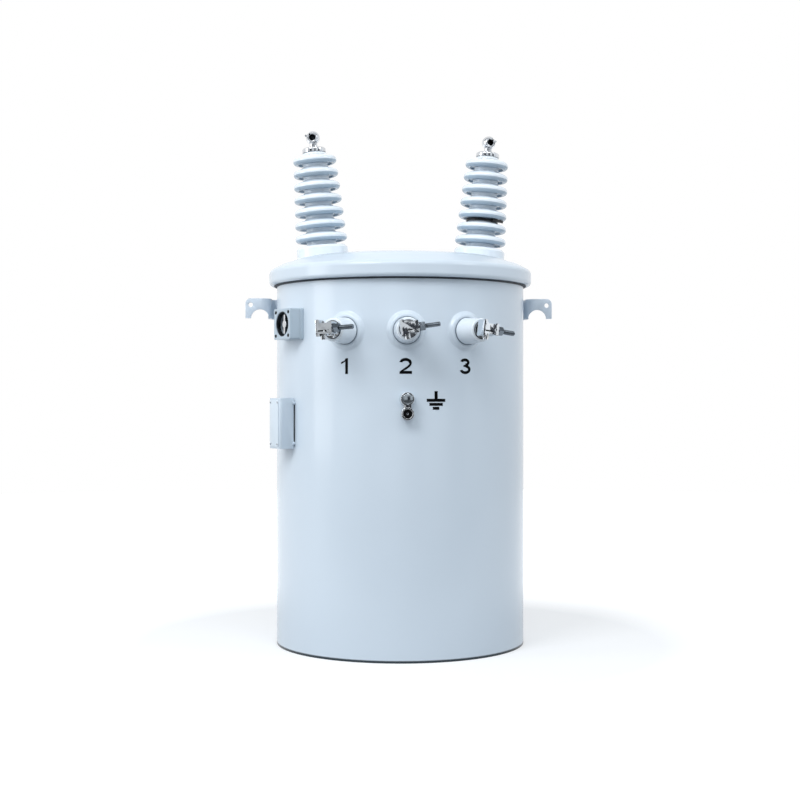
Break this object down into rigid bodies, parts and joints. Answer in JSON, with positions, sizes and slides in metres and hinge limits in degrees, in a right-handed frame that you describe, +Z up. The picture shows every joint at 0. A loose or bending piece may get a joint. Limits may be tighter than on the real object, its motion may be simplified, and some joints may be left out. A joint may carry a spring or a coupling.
{
  "type": "pole mounted distribution transformer",
  "caption": "Round oil-filled pole transformer tank with a banded domed cover, shed bushings on top, clamp terminals in front, lifting lugs and hanger brackets.",
  "frame": {"origin": "middle of the tank's foot, on the tank's axis, at the level it rests on", "axes": "+Z up along the tank; -Y towards the low-voltage front; +Y towards the pole; +X to the right seen from the front"},
  "size_m": [0.533, 0.5488, 0.8682],
  "materials": {
    "tank_paint": "light grey-blue gloss paint",
    "porcelain": "pale grey glaze",
    "tinned": "bright tin plating",
    "zinc": "bright zinc plating",
    "gasket": "matte",
    "black_plastic": "satin"
  },
  "bodies": {
    "root": {"tank_shell": "tank_paint", "tank_rim": "tank_paint", "tank_base": "tank_paint", "cover": "tank_paint", "cover_gasket": "gasket", "cover_band": "tank_paint", "cover_band_bolt": "zinc", "hv_collar_left": "porcelain", "hv_bushing_left": "porcelain", "hv_cap_left": "tinned", "hv_terminal_left": "tinned", "hv_clamp_bolt_left": "zinc", "hv_collar_right": "porcelain", "hv_bushing_right": "porcelain", "hv_cap_right": "tinned", "hv_terminal_right": "tinned", "hv_clamp_bolt_right": "zinc", "cable_tie": "black_plastic", "lv_boss_1": "tank_paint", "lv_bushing_1": "porcelain", "lv_terminal_1": "tinned", "lv_clamp_rod_1": "zinc", "lv_boss_2": "tank_paint", "lv_bushing_2": "porcelain", "lv_terminal_2": "tinned", "lv_clamp_rod_2": "zinc", "lv_boss_3": "tank_paint", "lv_bushing_3": "porcelain", "lv_terminal_3": "tinned", "lv_clamp_rod_3": "zinc", "lifting_lug_left": "tank_paint", "lifting_lug_right": "tank_paint", "ground_pad": "tank_paint", "ground_connector": "tinned", "ground_bolt": "zinc", "tap_changer_housing": "tank_paint", "tap_changer_dial": "black_plastic", "tap_changer_handle": "tinned", "nameplate_bracket": "tank_paint", "nameplate": "tank_paint", "hanger_bracket_upper": "tank_paint", "hanger_bracket_lower": "tank_paint"}
  },
  "joints": []
}
